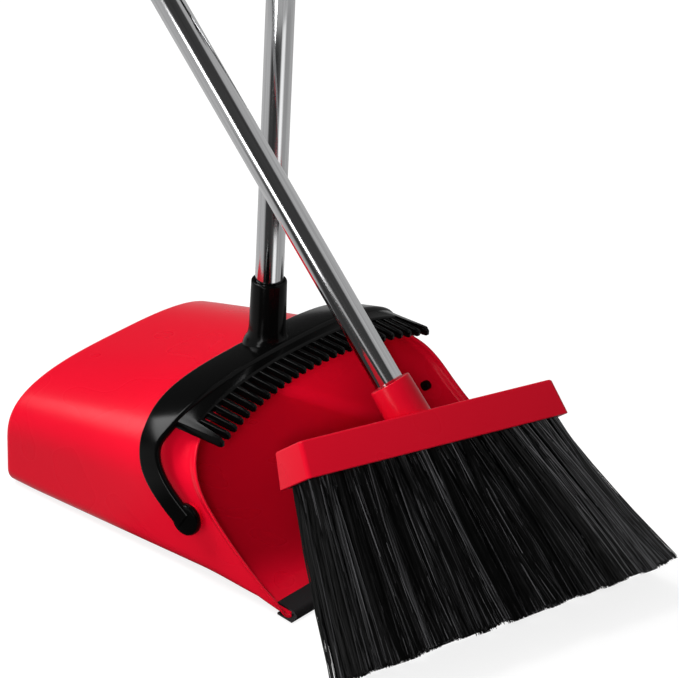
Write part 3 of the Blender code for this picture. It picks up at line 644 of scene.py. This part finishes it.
# a turned ring, and a rounded bar carried round an arc that is open at the mouth
def makeClip(name, node, place, height):
    low, high = height - clip["height"] / 2, height + clip["height"] / 2
    bore = pole["collarRadius"] + gap
    outline = [(bore, low)] + easedRun(low, high, clip["ring"], clip["ease"]) + [(bore, high)]
    addPiece(name + "Ring", turned(outline, place), black, "handle", [node], wrap=True)
    free = math.asin(clip["mouth"] / clip["jaw"])
    turn = np.linspace(free - np.pi / 2, 1.5 * np.pi - free, 64)[:, None]
    thick, tall = roundedBar(clip["jawThick"] / 2, clip["height"] / 2, clip["ease"], 3)
    radius = clip["jaw"] + thick
    local = np.stack([radius * np.cos(turn), radius * np.sin(turn) - clip["reach"],
                      height + tall + 0 * turn], -1)
    addPiece(name + "Jaw", carry(place, local), black, "handle")


# Broom head: a moulded cap with its socket, whose outline is radius and height from its rim
cap = dict(tilt=15.65, centre=(-0.0021, 0.0, -0.0569), half=0.1172, topHalf=0.1137, halfDepth=0.0225,
           topHalfDepth=0.0195, height=0.028, corner=0.0035, ease=0.0018, lowEase=0.0005, wall=0.003,
           pocket=0.012, pocketCorner=0.0015,
           socket=((0.0113, -0.036), (0.002, -0.036), (0.002, -0.037), (0.0171, -0.037), (0.0167, -0.030),
                   (0.0163, -0.012), (0.0160, -0.0010), (0.0158, -0.0003), (0.0152, 0.0), (0.0113, 0.0)))


# rounded rectangles stacked from the pocket round the lower edge and up to the eased top
def makeCap(place, polePlace):
    turn = np.linspace(0, np.pi / 2, 6)
    pull = cap["ease"] * (1 - np.cos(turn))
    rise = cap["height"] - cap["ease"] * (1 - np.sin(turn))
    share = rise / cap["height"]
    halfX = between(cap["half"], cap["topHalf"], share) - pull
    halfY = between(cap["halfDepth"], cap["topHalfDepth"], share) - pull
    inX, inY, edge = cap["half"] - cap["wall"], cap["halfDepth"] - cap["wall"], cap["lowEase"]
    halfX = np.concatenate([[inX, inX, cap["half"] - edge, cap["half"]], halfX])
    halfY = np.concatenate([[inY, inY, cap["halfDepth"] - edge, cap["halfDepth"]], halfY])
    corner = np.concatenate([[cap["pocketCorner"]] * 2, [cap["corner"]] * 2, cap["corner"] - 0.5 * pull])
    height = np.concatenate([[cap["pocket"], 0.0, 0.0, edge], rise])
    x, y = roundedBar(halfX, halfY, corner, 6)
    points = carry(place, np.stack([x, y, height[:, None] + 0 * x], -1))
    addPiece("broomCap", points, red, "broom", ["broom_cap"], sharp=50.0)
    addPiece("broomSocket", turned(cap["socket"], polePlace), red, "broom", wrap=True,
             sharp=50.0)


# Fan of fibres: left and right are the ends of its trim, across and along the pole
fan = dict(left=(-0.1563, -0.1637), right=(0.1342, -0.2259), halfDepth=0.0245, columns=24, rows=9,
           perTuft=80, rootRadius=0.00042, tipRadius=0.00026, uneven=0.0030, clump=0.0022, bow=0.0016,
           bowShare=0.7, margin=0.002, rootHeight=0.001, floorClear=0.0004, tuftSpread=0.0011,
           alongSpread=0.012, alongLimits=(0.003, 0.997), deepSpread=0.07, deepLimit=0.98,
           tone=0.40, tuftTone=0.15, fibreTone=0.30, streakPower=5)


# three-sided fibres from tufts in the cap to the slanted trim; those of a tuft lean together,
# bow by half a sine wave and end unevenly
def makeFan(name, rows, place, polePlace, replaced):
    column, row = np.meshgrid(np.arange(fan["columns"]), rows, indexing="ij")
    tufts, count = column.size, fan["perTuft"]
    across = ((column + 0.5) / fan["columns"]).reshape(-1, 1)
    depth = (2 * (row + 0.5) / fan["rows"] - 1).reshape(-1, 1)
    halfX = cap["half"] - cap["wall"] - gap - cap["pocketCorner"] - fan["margin"]
    halfY = cap["halfDepth"] - cap["wall"] - gap - fan["margin"]
    lean = rng.normal(0, fan["clump"], (tufts, 1, 3))
    along = across + rng.normal(0, fan["alongSpread"], (tufts, count))
    deep = depth + rng.normal(0, fan["deepSpread"], (tufts, count))
    along, deep = np.clip(along, *fan["alongLimits"]), np.clip(deep, -fan["deepLimit"], fan["deepLimit"])
    tuftSize = rng.normal(0, fan["tuftSpread"], (2, tufts, count))
    rootX = np.clip(halfX * (2 * across - 1) + tuftSize[0], -halfX, halfX)
    rootY = np.clip(halfY * depth + tuftSize[1], -halfY, halfY)
    root = carry(place, np.stack([rootX, rootY, np.full((tufts, count), fan["rootHeight"])], -1))
    left, right = np.array(fan["left"]), np.array(fan["right"])
    short = rng.uniform(0, 1, (tufts, count)) ** 2 * fan["uneven"]
    tipX, tipZ = between(left[0], right[0], along), between(left[1], right[1], along) + short
    tip = carry(polePlace, np.stack([tipX, deep * fan["halfDepth"], tipZ], -1))
    tip[..., :2] += lean[..., :2]
    bow = rng.normal(0, fan["bow"], (tufts, count, 3)) + lean
    root, tip, bow = (v.reshape(-1, 1, 3) for v in (root, tip, bow))
    share = np.linspace(0, 1, 4)[:, None]
    middle = between(root, tip, share) + bow * np.sin(np.pi * share) * fan["bowShare"]
    middle[..., 2] = np.maximum(middle[..., 2], fan["floorClear"])
    side = unit(np.cross(tip - root, up))
    other = unit(np.cross(tip - root, side))
    turn = 2 * np.pi * np.arange(3) / 3
    size = between(fan["rootRadius"], fan["tipRadius"], share)
    ring = side[:, :, None] * np.cos(turn)[:, None] + other[:, :, None] * np.sin(turn)[:, None]
    points = middle[:, :, None] + ring * size[:, None]
    # tone of each tuft and fibre, raised to a power so that most stay black and a few come out light grey:
    # painted highlight streaks
    tone = fan["tone"] + rng.normal(0, fan["tuftTone"], (tufts, 1))
    tone = np.clip(tone + rng.normal(0, fan["fibreTone"], (tufts, count)), 0, 1) ** fan["streakPower"]
    addPiece(name, points, fibre, "broom", replaced, tone=tone.ravel())


# Backing that the tufts stand in, inside the cap's pocket
backing = dict(ease=0.0004, thick=0.0026)


# rounded rectangles stacked from the eased lower edge
def makeBacking(place):
    pull = np.array([backing["ease"], 0.0, 0.0])
    halfX, halfY = cap["half"] - cap["wall"] - gap - pull, cap["halfDepth"] - cap["wall"] - gap - pull
    x, y = roundedBar(halfX, halfY, [cap["pocketCorner"]] * 3)
    height = np.array([0.0, backing["ease"], backing["thick"]])[:, None]
    points = carry(place, np.stack([x, y, height + 0 * x], -1))
    addPiece("bristleBacking", points, rubber, "broom")


# Where the two poles stand: the rim of each socket and the directions of each pole, in degrees
stand = dict(panRim=(0.0, hinge[1] + 0.051, 0.1805), panLean=1.9, panLower=0.272,
             broomRim=(-0.0594, hinge[1] - 0.1140, 0.1702), broomLean=38.4, broomLeanTurn=5.1,
             trimTurn=-14.4, broomLower=0.350)
# the steel's lines run along each pole
steelLook = dict(deep="#a8a9aa", light="#e0e0e1", rough=0.12, spread=(0.7, 1.3), lineSize=0.0016,
                 stretch=70.0, relief=0.06, reliefDepth=0.0001)
panSteel = drawnSteel("polishedStainless", steelLook, stand["panLean"], 0.0)
broomSteel = drawnSteel("polishedStainlessLeaning", steelLook, -stand["broomLean"], stand["broomLeanTurn"])


# the pole leans forward in the scoop's middle plane
def panPolePlace():
    lean = math.radians(stand["panLean"])
    axes = [(1, 0, 0), (0, math.cos(lean), math.sin(lean)), (0, -math.sin(lean), math.cos(lean))]
    return np.array(stand["panRim"]), np.array(axes, float)


# the pole leans back over the scoop, and the head is turned so that its trim lies along trimTurn
def broomPolePlace():
    lean, turn = math.radians(stand["broomLean"]), math.radians(stand["broomLeanTurn"])
    trim = math.radians(stand["trimTurn"])
    axis = np.array([-math.sin(lean) * math.sin(turn), math.sin(lean) * math.cos(turn), math.cos(lean)])
    along = np.array([math.cos(trim), math.sin(trim), 0.0])
    side = unit(along - axis * (along @ axis))
    return np.array(stand["broomRim"]), np.array([side, np.cross(axis, side), axis])


# the pole's frame moved to the cap and tilted sideways
def capPlace(polePlace):
    tilt = math.radians(cap["tilt"])
    turn = np.array([(math.cos(tilt), 0, -math.sin(tilt)), (0, 1, 0), (math.sin(tilt), 0, math.cos(tilt))])
    return carry(polePlace, cap["centre"]), turn @ polePlace[1]


# Camera: focal length in pixels of the picture's width
shot = dict(width=679, azimuth=-51.404, elevation=26.576, roll=1.166, distance=3.2, focal=4177.4,
            aim=(0.0241, hinge[1] + 0.0004, 0.1372), sensor=36.0, clipEnd=100.0)


# right, upward and backward directions of an unrolled camera
def cameraAxes():
    azimuth, elevation = math.radians(shot["azimuth"]), math.radians(shot["elevation"])
    back = np.array([math.sin(azimuth) * math.cos(elevation), -math.cos(azimuth) * math.cos(elevation),
                     math.sin(elevation)])
    right = np.array([math.cos(azimuth), math.sin(azimuth), 0.0])
    return right, np.cross(back, right), back


# the first two of three directions turned about the third
def rolled(right, rise, back, degrees):
    roll = math.radians(degrees)
    return (right * math.cos(roll) + rise * math.sin(roll), rise * math.cos(roll) - right * math.sin(roll),
            back)


# an object of the studio, stood at an origin along three directions
def addObject(name, data, origin, axes):
    made = bpy.data.objects.new(name, data)
    matrix = np.eye(4)
    matrix[:3, :3] = np.array(axes).T
    matrix[:3, 3] = origin
    made.matrix_world = Matrix(matrix.tolist())
    bpy.context.collection.objects.link(made)
    return made


# stands off its aim, with the lens that gives the focal length
def makeCamera():
    axes = cameraAxes()
    data = bpy.data.cameras.new("shotCamera")
    data.sensor_width = shot["sensor"]
    data.lens = shot["sensor"] * shot["focal"] / shot["width"]
    data.clip_end = shot["clipEnd"]
    origin = np.array(shot["aim"]) + axes[2] * shot["distance"]
    bpy.context.scene.camera = addObject("shotCamera", data, origin, rolled(*axes, shot["roll"]))


# Floor: its painted reflection panels are greys by direction round the pan's pole, as shares of a turn
# with the camera's side at a half; past reach they give way to one grey
floorLook = dict(deep="#8c8c8c", light="#909090", rough=0.9, sheen=0.1, patchSize=1 / 3, lift=0.80,
                 size=40.0, drop=0.0002, reach=(1.6, 1.8), beyond=0.6,
                 paintedReflectionPanels=((0.0, 0.60), (0.16, 0.70), (0.325, 0.62), (0.36, 0.06), (0.50, 0.05),
                         (0.552, 0.12), (0.587, 1.5), (0.627, 1.5), (0.66, 0.45), (0.80, 0.55)))


# pale floor: white to the camera with the object's soft shadow; to mirror rays alone it glows with
# painted reflection panels in place of studio flags, which give the poles their stripes and highlight
def makeFloor():
    size = floorLook["size"]
    corners = [(-size, -size, 0), (size, -size, 0), (size, size, 0), (-size, size, 0)]
    mesh = bpy.data.meshes.new("paleFloor")
    mesh.from_pydata(corners, [], [(0, 1, 2, 3)])
    material, tree, place = startMaterial("paintedFloor")
    path = addNode(tree, "LightPath")
    lift = addNode(tree, "Math", {0: path.outputs["Is Camera Ray"], 1: floorLook["lift"]},
                   operation="MULTIPLY")
    patches = addNode(tree, "TexNoise", {"Vector": place, "Scale": 1 / floorLook["patchSize"]})
    colour = addNode(tree, "Mix", {"Factor": patches.outputs["Fac"], 6: linear(floorLook["deep"]),
                                   7: linear(floorLook["light"])}, data_type="RGBA")
    paint = addNode(tree, "BsdfPrincipled", {
        "Base Color": colour.outputs[2], "Roughness": floorLook["rough"],
        "Specular IOR Level": floorLook["sheen"], "Emission Color": (1.0, 1.0, 1.0, 1.0),
        "Emission Strength": lift.outputs["Value"]})
    back = cameraAxes()[2]
    toward = math.atan2(back[1], back[0])
    centred = addNode(tree, "Mapping", {"Vector": place, "Location": (0.0, -stand["panRim"][1], 0.0)})
    swung = addNode(tree, "Mapping", {"Vector": centred.outputs["Vector"], "Rotation": (0.0, 0.0, -toward)})
    around = addNode(tree, "TexGradient", {"Vector": swung.outputs["Vector"]}, gradient_type="RADIAL")
    paintedReflectionPanels = addNode(tree, "ValToRGB", {"Fac": around.outputs["Fac"]}, floorLook["paintedReflectionPanels"])
    away = addNode(tree, "VectorMath", {0: centred.outputs["Vector"]}, operation="LENGTH")
    far = addNode(tree, "MapRange", {"Value": away.outputs["Value"], "From Min": floorLook["reach"][0],
                                     "From Max": floorLook["reach"][1]})
    paintedReflections = addNode(tree, "Mix", {"Factor": far.outputs["Result"], 6: paintedReflectionPanels.outputs["Color"],
                                  7: (*[floorLook["beyond"]] * 3, 1.0)}, data_type="RGBA")
    # painted reflections: the floor glows with these greys to mirror rays only
    seen = addNode(tree, "Emission", {"Color": paintedReflections.outputs[2]})
    mix = addNode(tree, "MixShader", {0: path.outputs["Is Glossy Ray"], 1: paint.outputs["BSDF"],
                                      2: seen.outputs["Emission"]})
    addNode(tree, "OutputMaterial", {"Surface": mix.outputs["Shader"]})
    mesh.materials.append(material)
    addObject("paleFloor", mesh, (0, 0, -floorLook["drop"]), np.eye(3))


# Room: walls are greys along one axis, from its back end (0) to its front end (1)
roomLook = dict(light=0.22, axis=(0.852, -0.501, 0.150),
                walls=((0.0, 0.60), (0.08, 0.60), (0.16, 0.06), (0.75, 0.06), (0.82, 0.60), (1.0, 0.60)))


# even white room light; mirrors see a broad dark band between two grey ends
def makeRoom():
    world = bpy.data.worlds.new("studioRoom")
    world.use_nodes = True
    tree = world.node_tree
    tree.nodes.clear()
    ray = addNode(tree, "TexCoord").outputs["Generated"]
    facing = addNode(tree, "VectorMath", {0: ray, 1: roomLook["axis"]}, operation="DOT_PRODUCT")
    share = addNode(tree, "MapRange", {"Value": facing.outputs["Value"], "From Min": -1.0, "From Max": 1.0})
    walls = addNode(tree, "ValToRGB", {"Fac": share.outputs["Result"]}, roomLook["walls"])
    path = addNode(tree, "LightPath")
    light = addNode(tree, "MapRange", {"Value": path.outputs["Is Camera Ray"], "To Min": roomLook["light"],
                                       "To Max": 1.0})
    seen = addNode(tree, "Background", {"Color": walls.outputs["Color"]})
    lit = addNode(tree, "Background", {"Color": (1.0, 1.0, 1.0, 1.0), "Strength": light.outputs["Result"]})
    mix = addNode(tree, "MixShader", {0: path.outputs["Is Glossy Ray"], 1: lit.outputs["Background"],
                                      2: seen.outputs["Background"]})
    addNode(tree, "OutputWorld", {"Surface": mix.outputs["Shader"]})
    bpy.context.scene.world = world


# Soft boxes: the left one is rolled to lie along the broom's pole, and mirrors don't see the fill
boxAim = np.array([0.0, -0.2, 0.1])
boxes = dict(leftBox=dict(origin=(-1.5, -0.25, 0.38), size=(0.32, 0.85), power=6.0, roll=41.0,
                          mirrored=True),
             topBox=dict(origin=(-0.5, 1.25, 1.95), size=(1.5, 1.5), power=64.0, roll=0.0,
                         mirrored=True),
             fillBox=dict(origin=(-1.6, -1.45, 1.1), size=(0.5, 0.5), power=17.0, roll=0.0,
                          mirrored=False))


# each box is turned to the scoop and rolled about that line
def makeLamps():
    for name, box in boxes.items():
        data = bpy.data.lights.new(name, "AREA")
        data.shape = "RECTANGLE"
        data.size, data.size_y = box["size"]
        data.energy = box["power"]
        back = unit(np.array(box["origin"]) - boxAim)
        side = unit(np.cross(up + (0, 0.001, 0), back))  # off upright, so that a box overhead has a side
        axes = rolled(side, np.cross(back, side), back, box["roll"])
        lamp = addObject(name, data, box["origin"], axes)
        lamp.visible_glossy = box["mirrored"]


# Mouth light: a narrow spot from the camera's side that lights only the scoop and its lip
mouthLight = dict(aim=(0.025, -0.12, 0.06), distance=2.4, power=215.0, cone=5.4, blend=1.0, soft=0.08,
                  pieces=("scoopShell", "rubberLip"))


# stands off its aim along the camera's line; comes after the pieces that it lights
def makeMouthLight():
    axes = cameraAxes()
    data = bpy.data.lights.new("mouthSpot", "SPOT")
    data.energy = mouthLight["power"]
    data.spot_blend = mouthLight["blend"]
    data.shadow_soft_size = mouthLight["soft"]
    data.spot_size = math.radians(mouthLight["cone"])
    origin = np.array(mouthLight["aim"]) + axes[2] * mouthLight["distance"]
    lamp = addObject("mouthSpot", data, origin, axes)
    lamp.visible_glossy = False
    lit = bpy.data.collections.new("scoopPieces")
    for name in mouthLight["pieces"]:
        lit.objects.link(bpy.data.objects[name])
    lamp.light_linking.receiver_collection = lit


bpy.context.scene.view_settings.view_transform = "Standard"
makeCamera()
makeFloor()
makeRoom()
makeLamps()
print("studio ready")

panPlace = panPolePlace()
makeScoop()
makeLip()
makeMouthLight()
makeYoke(panPlace)
lowJoint, highJoint, panTop = makePole("pan", "handle", panSteel, panPlace, stand["panLower"],
                                       grip["seat"] - gap)
makePanGrip(panPlace, panTop)
makeClip("clipLower", "storage_clip_lower", panPlace, lowJoint)
makeClip("clipUpper", "storage_clip_upper", panPlace, highJoint)
print("dustpan ready")

broomPlace = broomPolePlace()
headPlace = capPlace(broomPlace)
makeCap(headPlace, broomPlace)
makeBacking(headPlace)
makeFan("fibresFront", np.arange(0, 3), headPlace, broomPlace, ["bristles"])
makeFan("fibresMiddle", np.arange(3, 6), headPlace, broomPlace, [])
makeFan("fibresBack", np.arange(6, 9), headPlace, broomPlace, [])
broomTop = makePole("broom", "broom", broomSteel, broomPlace, stand["broomLower"], grip["sleeve"] - gap)[2]
makeBroomGrip(broomPlace, broomTop)
print("broom ready")

# plugs and joiners inside the tubes and the cap keep their solids
for name in ("pan_joiner_lower", "pan_joiner_upper", "pan_foot_plug", "broom_joiner_lower",
             "broom_joiner_upper", "broom_foot_plug", "bristle_block"):
    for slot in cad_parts[name].material_slots:
        slot.material = black
print("hidden plugs ready")
